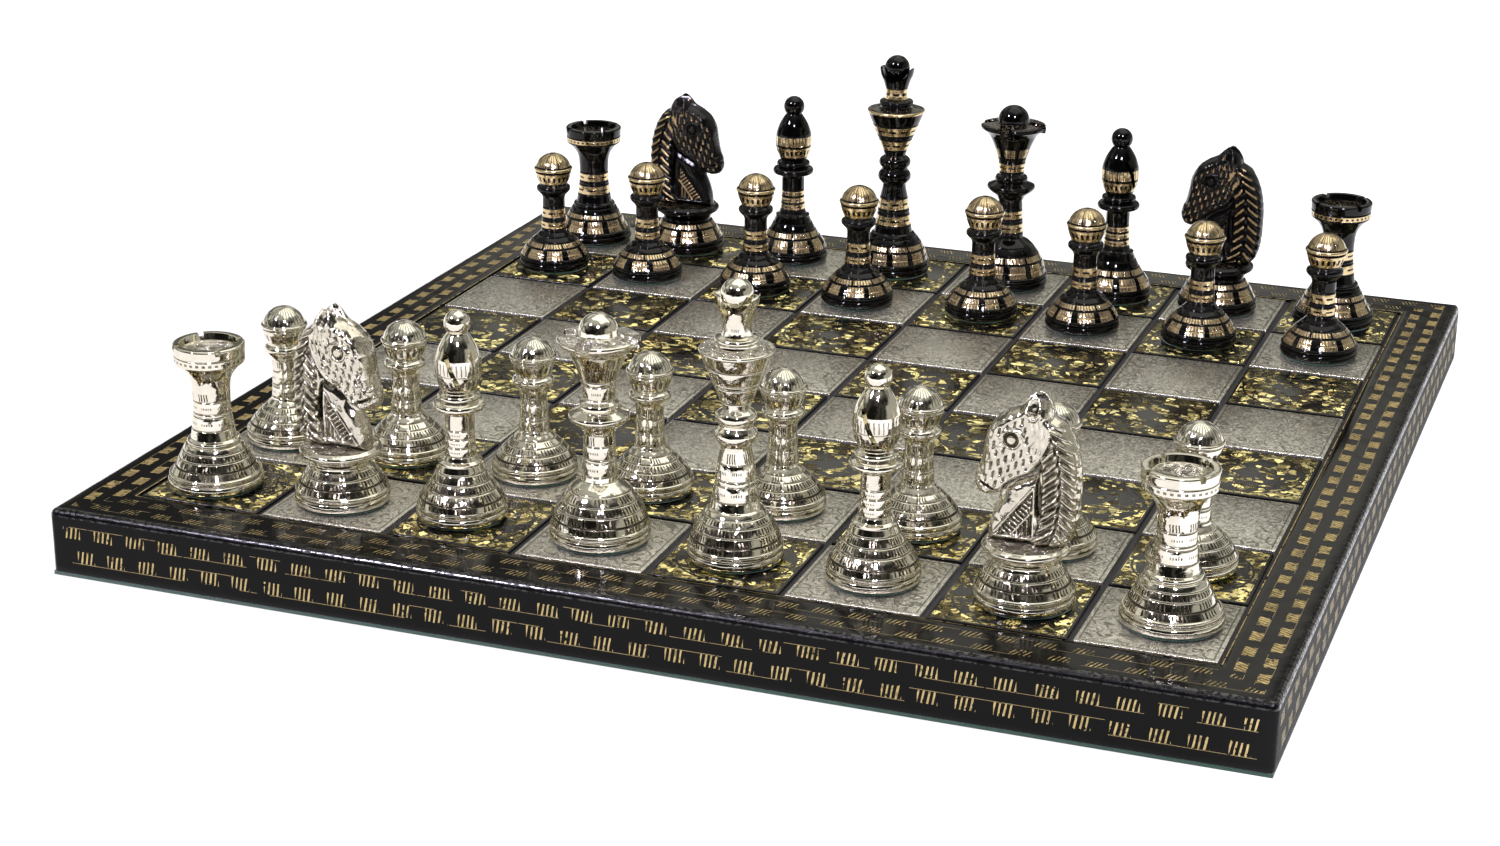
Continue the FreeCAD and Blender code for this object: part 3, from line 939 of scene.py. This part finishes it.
def queen():
    t = foot(12.3)
    t.arc((12.2, 3.8), (11.8, 4.5))
    t.bands(
        (11.4, 6.4, BRICK, 10), (10.5, 8.8, BRICK, 10), (9.2, 11.0, FULL, 9), (7.5, 13.2, FAINT, 8),
        (5.9, 14.6))
    t.line(4.9, 15.1)
    t.line(4.4, 15.5)
    t.bands(
        (4.3, 17.0), (4.1, 20.4, DASHED, 6), (4.0, 21.3), (3.85, 24.5, DASHED, 6),
        (3.7, 27.2, FAINT, 5))
    t.curve([(4.6, 28.7), (6.7, 30.4)])
    t.line(7.2, 31.0)
    t.arc((7.4, 31.7), (7.0, 32.3))
    t.line(4.8, 33.2)
    t.arc((5.05, 34.2), (4.6, 35.1))
    t.line(3.8, 35.5)
    t.bands((3.85, 36.2), (4.2, 39.6, DASHED, 7), (4.5, 40.8), (5.6, 44.2, BRICK, 7))
    t.curve([(6.3, 45.8), (7.5, 48.0), (9.5, 49.8)])
    t.arc((10.0, 50.5), (9.5, 51.2))
    t.run([(8.2, 51.4), (6.4, 51.65), (4.85, 51.9)], STIPPLED, 9)
    t.dome(57.1)
    return t.mesh("queen", 256, queen_trim)


QUEEN = queen()
for name in ("silver_queen_d", "black_queen_e"):
    set_piece(name, QUEEN, 12.3)

# ----------------------------------------
# Kings.
# The tallest casting: a long tapered column, a cone crown with a flat rim, and a cup cut away
# front and back that holds a ball.


CUP_FOOT = 61.0
CUP_TOP = 66.6
CUTAWAY = 4.7


def king_trim(x, y, z):
    """The cup's wall cut away in a round, front and back."""
    if z > CUP_FOOT and math.hypot(x, y) > 4.0 and abs(x) < CUTAWAY:
        return min(z, CUP_TOP - math.sqrt(CUTAWAY ** 2 - x ** 2))
    return z


def king():
    t = foot(11.6)
    t.arc((11.5, 3.8), (11.15, 4.5))
    t.bands(
        (10.7, 6.2, BRICK, 10), (9.9, 8.4, BRICK, 10), (8.8, 10.4, FULL, 9), (7.5, 12.0, FAINT, 8),
        (6.6, 13.1))
    t.line(6.0, 13.4)
    t.bands(
        (5.65, 15.6), (5.1, 19.4, DASHED, 8), (4.95, 20.7), (4.35, 24.7, DASHED, 8),
        (3.7, 27.6, FAINT, 6))
    t.line(3.65, 28.8)
    t.curve([(4.4, 29.6), (5.0, 30.4)])
    t.arc((5.15, 31.6), (4.6, 32.8))
    t.line(4.1, 33.4)
    t.line(4.1, 34.2)
    t.arc((4.95, 35.8), (4.1, 37.3))
    t.line(3.2, 38.0)
    t.bands((3.8, 39.6), (5.4, 43.5, DASHED, 8), (5.9, 44.6), (7.3, 48.2, DASHED, 11), (8.1, 50.2))
    t.line(8.75, 51.8)
    t.arc((8.95, 52.3), (8.6, 52.7), RING)
    t.run([(7.4, 52.86), (6.2, 53.03), (5.0, 53.2)], STIPPLED, 9)
    t.line(4.8, 54.0)
    t.line(5.1, 54.2)
    t.arc((5.3, 54.9), (4.9, 55.5))
    t.line(3.6, 55.8)
    t.curve([(3.35, 57.4), (3.5, 59.4)], DASHED, 7)
    t.curve([(4.2, 61.6), (5.0, 63.4)])
    t.run([(5.2, 64.4), (5.3, 65.3)])
    t.line(5.3, 65.7)
    t.line(4.5, 65.7)
    t.run([(4.45, 65.0), (4.4, 64.2), (4.35, 63.4), (4.2, 62.6)])
    t.line(2.23, 62.4)
    t.arc((3.9, 65.6), (2.76, 68.36))
    t.dome(69.5)
    return t.mesh("king", 256, king_trim)


KING = king()
for name in ("silver_king_e", "black_king_d"):
    set_piece(name, KING, 11.6)

# ----------------------------------------
# Knights.
# A low turned base with a stippled top, and on it a flat horse's head cast with its mane,
# bridle dots and a hatched panel on each flank.


def knight_base():
    t = foot(11.9)
    t.arc((11.8, 3.75), (11.4, 4.4))
    t.bands((10.5, 6.2, BRICK, 9), (9.3, 8.2, BRICK, 9), (8.1, 9.9, FULL, 8))
    t.line(7.5, 10.3)
    t.line(7.5, 11.0)
    t.curve([(8.3, 12.0), (9.9, 13.2)])
    t.arc((10.3, 14.0), (9.8, 14.7))
    t.line(9.3, 15.2)
    t.run([(7.0, 15.2), (4.5, 15.2), (2.0, 15.2), (0.0, 15.2)], STIPPLED, 10)
    return t.mesh("knight_base", 160)


HEAD_FOOT = 15.1
REAR = [
    (-8.4, HEAD_FOOT), (-10.6, 17.2), (-11.9, 21.5), (-12.3, 28.0),
    (-11.9, 35.0), (-10.3, 40.6), (-7.8, 44.6), (-5.3, 46.2)]
EAR = [(-4.9, 47.6), (-3.5, 49.9), (-1.5, 51.3), (0.5, 50.2), (2.4, 47.9)]
FACE = [
    (5.2, 46.5), (8.0, 44.2), (9.9, 40.8), (10.6, 36.8), (11.3, 33.4),
    (12.3, 30.9), (12.5, 28.4), (11.4, 26.3), (9.3, 25.6)]
CHEST = [(6.6, 26.4), (6.8, 24.6), (7.9, 21.6), (8.7, 18.4), (8.9, HEAD_FOOT)]
JAW = [
    (9.3, 25.6), (6.6, 26.4), (4.8, 29.4), (2.0, 31.4),
    (-1.4, 33.4), (-4.0, 37.2), (-5.4, 41.2), (-5.2, 44.6)]
GRID = 0.21


def smooth_line(points):
    """Points along a smooth line through the given ones."""
    knots = np.array([points[0]] + list(points) + [points[-1]], float)
    fours = zip(knots, knots[1:], knots[2:], knots[3:])
    places = [spline(a, b, c, d, step / 6) for a, b, c, d in fours for step in range(6)]
    return np.array(places + [knots[-1]])


def distance_to(line, x, z):
    """How far each grid point is from a line of points."""
    best = np.full(x.shape, 1e9)
    for a, b in zip(line, line[1:]):
        run = b - a
        t = np.clip(((x - a[0]) * run[0] + (z - a[1]) * run[1]) / max(run @ run, 1e-12), 0, 1)
        best = np.minimum(best, np.hypot(x - a[0] - t * run[0], z - a[1] - t * run[1]))
    return best


def inside_of(loop, x, z):
    """True for the grid points inside a closed line."""
    found = np.zeros(x.shape, bool)
    for a, b in zip(loop, np.roll(loop, -1, axis=0)):
        crosses = (a[1] > z) != (b[1] > z)
        edge = a[0] + (z - a[1]) * (b[0] - a[0]) / (b[1] - a[1] if b[1] != a[1] else 1e-9)
        found ^= crosses & (x < edge)
    return found


def eased(value, low, high):
    t = np.clip((value - low) / (high - low), 0, 1)
    return t * t * (3 - 2 * t)


def near(distance, low, high):
    """1 closer than low and 0 farther than high, smooth between."""
    return 1 - eased(np.abs(distance), low, high)


def zigzag(value):
    """Runs from 1 down to 0 and back with every whole step of the value."""
    return np.abs((value % 1) - 0.5) * 2


def spot(x, z, cx, cz, rx, rz, lean=0.0):
    """1 in the middle of a leaning oval, falling to 0 at its edge."""
    dx, dz = x - cx, z - cz
    along = dx * math.cos(lean) + dz * math.sin(lean)
    beside = -dx * math.sin(lean) + dz * math.cos(lean)
    return np.clip(1 - np.hypot(along / rx, beside / rz), 0, 1)


def horse_relief(x, z):
    """Half thickness of the head over its side view, how bright each spot is on a black one, and how sunk it
    is, for painted shade.
    """
    outline = np.vstack([smooth_line(REAR), smooth_line(EAR), smooth_line(FACE), smooth_line(CHEST)])
    loop = np.vstack([outline, outline[:1]])
    edge = distance_to(loop, x, z) * np.where(inside_of(outline, x, z), 1, -1)
    jaw = smooth_line(JAW)
    head_loop = np.vstack([smooth_line(FACE), jaw, smooth_line([JAW[-1]] + EAR + [FACE[0]])])
    head = distance_to(jaw, x, z) * np.where(inside_of(head_loop, x, z), 1, -1)
    rear = smooth_line(REAR)
    back = np.interp(z, rear[:, 1], rear[:, 0])
    from_back = x - back

    thick = np.full(x.shape, 3.3)
    mane_zone = eased(from_back, -1.0, 0.2) * (1 - eased(from_back, 7.9, 8.5)) * (1 - eased(z, 44.0, 46.5))
    middle = from_back - 4.3
    rib = zigzag((z + 0.85 * np.abs(middle) + 0.7) / 2.75)
    rib = eased(1 - rib, 0.28, 0.85)
    split = near(middle, 0.1, 0.45)
    thick += mane_zone * (0.35 + 1.15 * rib * (1 - split) - 0.3 * split)
    gold = mane_zone * (rib > 0.78) * (1 - split) * (np.abs(middle) < 3.3) * (np.abs(middle) > 0.5)

    head_zone = eased(head, -0.35, 0.45)
    cheek = 4.35 + 0.45 * spot(x, z, 1.0, 37.5, 7, 7) + 0.2 * spot(x, z, 9.5, 30.5, 4, 4)
    thick = thick * (1 - head_zone) + cheek * head_zone

    under = np.clip(1 + head / 3.6, 0, 1) * (head < 0) * (x > -3.6 + (36 - z) * 0.1) * (1 - mane_zone)
    thick -= 1.15 * eased(under, 0.15, 0.8)
    slot = spot(x, z, -3.1, 26.5, 0.85, 6.2, -0.06)
    thick -= 1.5 * eased(slot, 0.0, 0.4)

    flank = np.array([(-1.9, 17.0), (-1.9, 28.8), (7.0, 17.0), (-1.9, 17.0)])
    panel = inside_of(flank[:3], x, z)
    border = distance_to(flank, x, z)
    sunk = panel * eased(border, 0.0, 0.35)
    strip = (7.0 - x) * 0.798 - (z - 17.0) * 0.602
    comb = zigzag(((x + 1.9) * 0.602 - (z - 28.8) * 0.798) / 1.05)
    ruled = zigzag((x + 1.9) / 1.15)
    ridge = np.abs(strip - 3.1) < 0.28
    upright = (ruled > 0.55) * (strip > 3.5) * (z < 24.0)
    hatch = sunk * (border > 0.5) * np.where(strip < 2.7, comb > 0.5, upright)
    thick += -0.75 * sunk + 0.6 * hatch + 0.75 * sunk * ridge
    thick += 0.4 * near(border - 0.25, 0.1, 0.45) * (1 - panel * 0.3)
    gold = np.maximum(gold, np.maximum(hatch, sunk * ridge))

    deep_head = eased(head, 0.6, 1.2) * eased(edge, 0.9, 1.5)
    eye = np.hypot(x - 3.4, z - 40.6)
    dots_zone = deep_head * (eye > 2.7) * (x > -1.6 + (z - 36) * 0.1)
    row = (x * 0.5 + z * 0.87) / 2.15
    place = (x * 0.97 + z * 0.1) / 1.6 + 0.5 * (np.floor(row) % 2)
    dot = near((row % 1) - 0.5, 0.22, 0.36) * near((place % 1) - 0.5, 0.1, 0.24)
    thick -= 0.42 * dots_zone * dot
    gold = np.maximum(gold, dots_zone * (dot > 0.6) * 0.62)
    strands = deep_head * (x < -1.6 + (z - 36) * 0.1) * (z < 46)
    wave = zigzag((head + 0.3 * np.sin(z * 0.9)) / 1.15)
    thick += 0.3 * strands * (wave - 0.5)
    gold = np.maximum(gold, strands * (wave > 0.8) * 0.7)

    thick += 0.65 * near(eye, 0.9, 1.25) - 0.4 * near(eye - 1.45, 0.1, 0.4)
    thick += 0.4 * near(eye - 1.95, 0.1, 0.5) * head_zone
    brow = np.hypot(x - 3.2, z - 40.0) - 2.9
    thick += 0.35 * near(brow, 0.1, 0.5) * (z > 40.4) * head_zone
    mouth = (z - 28.9) + 0.42 * (x - 9.5) * -1
    thick -= 1.3 * near(mouth, 0.12, 0.42) * eased(x, 6.3, 7.0)
    thick -= 1.1 * eased(spot(x, z, 10.9, 32.0, 1.0, 0.7, 0.6), 0.1, 0.6)
    lip = (z - 27.2) + 0.42 * (x - 9.5) * -1
    thick += 0.2 * near(lip, 0.1, 0.5) * eased(x, 7.6, 8.2)

    leaf = spot(x, z, -1.2, 48.2, 1.9, 3.3)
    thick += 0.25 * eased(leaf, 0.0, 0.2) - 1.5 * eased(leaf, 0.22, 0.7)
    gap = eased(z, 46.2, 50.5) * 2.2
    narrow = 1 - 0.28 * eased(z, 46.5, 51.4)
    muzzle = 1 - 0.3 * eased(x, 7.5, 12.6)
    tail = 1 - 0.16 * eased(-x, 6.5, 12.3)
    thick = thick * narrow * muzzle * tail
    rounding = 2.2
    depth = np.clip(edge / rounding, -1, 1)
    crown = np.where(depth > 0, np.sqrt(np.clip(1 - (1 - depth) ** 2, 0, 1)), depth)
    solid = thick * crown
    reach = 4
    shifts = range(-reach, reach + 1)
    spread = sum(np.roll(np.roll(solid, i, 0), j, 1) for i in shifts for j in shifts)
    # How far each spot lies below the surface round it: the silver horse's colour is darkened there as
    # painted shade.
    recess_shade = np.clip((spread / (2 * reach + 1) ** 2 - solid) / 0.3, 0, 1) * eased(edge, 1.2, 2.0)
    return solid, gap * (edge > -0.5), np.clip(gold * eased(edge, 0.3, 0.8), 0, 1), recess_shade


def horse_mesh():
    """Skins the head's solid with a net of quads, one point in each grid box that the surface crosses."""
    xs = np.arange(-13.2, 13.4, GRID)
    ys = np.arange(-5.9, 5.95, GRID)
    zs = np.arange(HEAD_FOOT - 3 * GRID, 52.4, GRID)
    flat_x, flat_z = np.meshgrid(xs, zs, indexing="ij")
    thick, gap, gold, recess_shade = horse_relief(flat_x, flat_z)
    x, y, z = np.meshgrid(xs, ys, zs, indexing="ij")
    solid = np.abs(y) - thick[:, None, :]
    slit = gap[:, None, :]
    parted = slit > 0.02
    solid = np.maximum(solid, (slit - np.abs(y)) * parted - 9.0 * ~parted)
    solid = np.maximum(solid, HEAD_FOOT - z)
    solid = np.clip(solid, -1, 1)
    nx, ny, nz = solid.shape
    total, count = np.zeros((nx - 1, ny - 1, nz - 1, 3)), np.zeros((nx - 1, ny - 1, nz - 1))
    corners = [(i, j, k) for i in (0, 1) for j in (0, 1) for k in (0, 1)]
    for a in corners:
        for b in corners:
            if sum(b) - sum(a) == 1 and all(q >= p for p, q in zip(a, b)):
                va = solid[a[0]:nx - 1 + a[0], a[1]:ny - 1 + a[1], a[2]:nz - 1 + a[2]]
                vb = solid[b[0]:nx - 1 + b[0], b[1]:ny - 1 + b[1], b[2]:nz - 1 + b[2]]
                crossed = (va < 0) != (vb < 0)
                t = np.where(crossed, va / np.where(va == vb, 1, va - vb), 0)
                for axis in range(3):
                    total[..., axis] += crossed * (a[axis] + t * (b[axis] - a[axis]))
                count += crossed
    used = count > 0
    number = np.full(used.shape, -1)
    number[used] = np.arange(used.sum())
    base = np.argwhere(used)
    verts = (base + total[used] / count[used][:, None]) * GRID + np.array([xs[0], ys[0], zs[0]])
    faces = []
    for axis in range(3):
        ahead = np.roll(solid, -1, axis)
        crossed = (solid < 0) != (ahead < 0)
        side, other = [k for k in range(3) if k != axis]
        for spot_at in np.argwhere(crossed):
            i, j, k = spot_at
            if spot_at[axis] >= solid.shape[axis] - 1 or spot_at[side] < 1 or spot_at[other] < 1:
                continue
            quad = []
            for da, db in ((0, 0), (1, 0), (1, 1), (0, 1)):
                cell = [i, j, k]
                cell[side] -= da
                cell[other] -= db
                quad.append(number[tuple(cell)])
            outward = (solid[i, j, k] < 0) != (axis == 1)
            faces.append(tuple(quad) if outward else tuple(reversed(quad)))
    mesh = bpy.data.meshes.new("horse")
    mesh.from_pydata((verts * MM).tolist(), [], faces)
    col = np.clip(((verts[:, 0] - xs[0]) / GRID).round().astype(int), 0, len(xs) - 1)
    row = np.clip(((verts[:, 2] - zs[0]) / GRID).round().astype(int), 0, len(zs) - 1)
    for name, field in (("raised", gold), ("recess_shade", recess_shade)):
        spots = mesh.attributes.new(name, "FLOAT", "POINT")
        spots.data.foreach_set("value", field[col, row].astype(np.float32))
    mesh.shade_smooth()
    return mesh


def horse_finish(side):
    """Plate or lacquer on the horse. On a black one the strokes are rubbed back to the brass; on a silver
    one the recesses are darkened as painted shade.
    """
    material, w = new_finish(side + "_horse")
    own = place_of(w)
    raised = w.node("Attribute", {"attribute_name": "raised"}, [], out="Fac")
    recess_shade = w.node("Attribute", {"attribute_name": "recess_shade"}, [], out="Fac").eased(0.2, 1.1)
    wave = w.noise(own, 0.35, 2.0)
    fine = w.noise(own, 2.2, 3.0)
    film = w.noise(own, 0.6, 2.0)
    if side == "silver":
        # The plate is darker than the turned pieces' nickel, as painted shade on the horse's flat sides.
        colour = w.blended(film, (0.5, 0.47, 0.38), (0.8, 0.76, 0.64))
        # Darker in the recesses: painted shade.
        colour = w.blended(recess_shade * 0.9, colour, (0.05, 0.045, 0.03))
        settings = {"Metallic": 1.0, "Roughness": 0.07 + fine * 0.1 + recess_shade * 0.15}
        leaning = 0.34
    else:
        bare = (raised + (fine - 0.5) * 0.5).eased(0.45, 0.7) * 0.9
        brass = w.blended(film, (0.34, 0.23, 0.1), (0.7, 0.54, 0.3))
        leaning = 0.07
        colour = w.blended(bare, grey(0.0015), brass)
        settings = {
            "Metallic": bare, "Roughness": (0.05 + fine * 0.05).chosen(0.3, bare), "Specular IOR Level": 0.3}
    return shaded(material, w, {
        "Base Color": colour, **settings,
        "Normal": faceted(w, w.bump(wave * 0.7 + fine * 0.3, 0.0002, 0.8), own, 0.55, leaning)})


HORSE_METAL = {"silver": horse_finish("silver"), "black": horse_finish("black")}
KNIGHT_TURN = {
    "silver_knight_b": -6.0, "silver_knight_g": 180.0, "black_knight_b": 0.0, "black_knight_g": 180.0}
KNIGHT_BASE = knight_base()
HORSE = horse_mesh()
for name, turn in KNIGHT_TURN.items():
    side = name.split("_")[0]
    stand(name, "turned_base", KNIGHT_BASE, name + "_base")
    horse = stand(name, "horse", HORSE, name + "_head", math.radians(turn), name + "_base")
    coat(horse, HORSE_METAL[side])
    pad(name, 11.9)

# ----------------------------------------
# Table, lamps and camera.
# The set stands on a white table in a white tent with soft lamps round it.


def white_table():
    size = 6.0
    corners = [(-size, -size, 0), (size, -size, 0), (size, size, 0), (-size, size, 0)]
    table = placed("white_table", bpy.data.meshes.new("white_table"))
    table.data.from_pydata(corners, [], [(0, 1, 2, 3)])
    material, w = new_finish("white_table_top")
    x, y, z = place_of(w).split()
    cloud = w.noise(w.joined(x, y, 0.0), 0.01, 2.0)
    # The top glows: dimmer near the board, brighter far off and past its right and back edges, where its
    # shadow falls. This is painted light that bleaches that shadow out.
    shadow_fill_glow = w.math("SQRT", x * x + y * y).eased(250.0, 900.0).biggest(x.biggest(y).eased(130.0, 160.0))
    painted_table_light = w.blended(shadow_fill_glow, (0.66, 0.65, 0.6), grey(1.06))
    coat(table, shaded(material, w, {
        "Base Color": w.blended(cloud, grey(0.3), grey(0.34)), "Roughness": 0.8,
        "Specular IOR Level": 0.1, "Emission Color": painted_table_light, "Emission Strength": 0.9}))


def white_tent():
    """Pale surroundings, brighter above, with a dark side where the photographer stands."""
    world = bpy.data.worlds.new("tent")
    bpy.context.scene.world = world
    world.use_nodes = True
    world.node_tree.nodes.clear()
    w = Wire(world.node_tree)
    way = w.node("TexCoord", {}, [], out="Generated")
    x, y, z = way.split()
    towards = x * math.sin(CAMERA_TURN) - y * math.cos(CAMERA_TURN)
    right = x * math.cos(CAMERA_TURN) + y * math.sin(CAMERA_TURN)
    dark_side = towards.eased(-0.1, 0.4) * (1 - z.eased(0.65, 0.92))
    card = right.eased(0.6, 0.75) * (1 - z.eased(0.4, 0.5))
    patches = w.noise(way, 2.1, 2.0).eased(0.5, 0.6)
    level = 0.12 + z.eased(0.3, 0.95) * 0.38 + patches * 0.55 * (1 - z.eased(0.5, 0.8))
    level = (level * (1 - dark_side * 0.93)).chosen(0.42, card)
    warm = w.blended(z.eased(-0.1, 0.8), (1.0, 0.97, 0.84), (1.0, 0.98, 0.9))
    seen = w.node("LightPath", {}, [], out="Is Camera Ray")
    light = w.node("Background", {}, {"Color": warm, "Strength": level.chosen(1.2, seen)})
    w.node("OutputWorld", {}, [light])


def lamp(name, place, aim, width, power, colour):
    data = bpy.data.lights.new(name, "AREA")
    data.size = width
    data.energy = power
    data.color = colour
    thing = placed(name, data)
    thing.location = place
    thing.rotation_euler = (Vector(aim) - Vector(place)).to_track_quat("-Z", "Y").to_euler()


CAMERA_TURN = math.radians(20.22)
CAMERA_TILT = math.radians(19.9)
CAMERA_ROLL = math.radians(0.54)
CAMERA_PLACE = Vector((0.23298, -0.69736, BOARD_TOP + 0.25753))
LENS = 67.37


def camera():
    data = bpy.data.cameras.new("camera")
    data.lens = LENS
    data.sensor_width = 36.0
    data.clip_start = 0.01
    thing = placed("camera", data)
    turn = Matrix.Rotation(CAMERA_TURN, 3, "Z") @ Matrix.Rotation(math.pi / 2 - CAMERA_TILT, 3, "X")
    thing.rotation_euler = (turn @ Matrix.Rotation(CAMERA_ROLL, 3, "Z")).to_euler()
    thing.location = CAMERA_PLACE
    bpy.context.scene.camera = thing


white_table()
white_tent()
lamp("overhead", (0.1, 0.3, 1.4), (0, 0, 0), 1.5, 7.5, (1.0, 0.98, 0.92))
for name, place in (("left_flash", (-0.68, -0.91, 1.13)), ("camera_flash", (0.45, -1.04, 1.13))):
    lamp(name, place, (0, 0, 0.03), 0.13, 22.0, (0.86, 0.8, 1.0))
camera()
bpy.context.scene.view_settings.view_transform = "Standard"
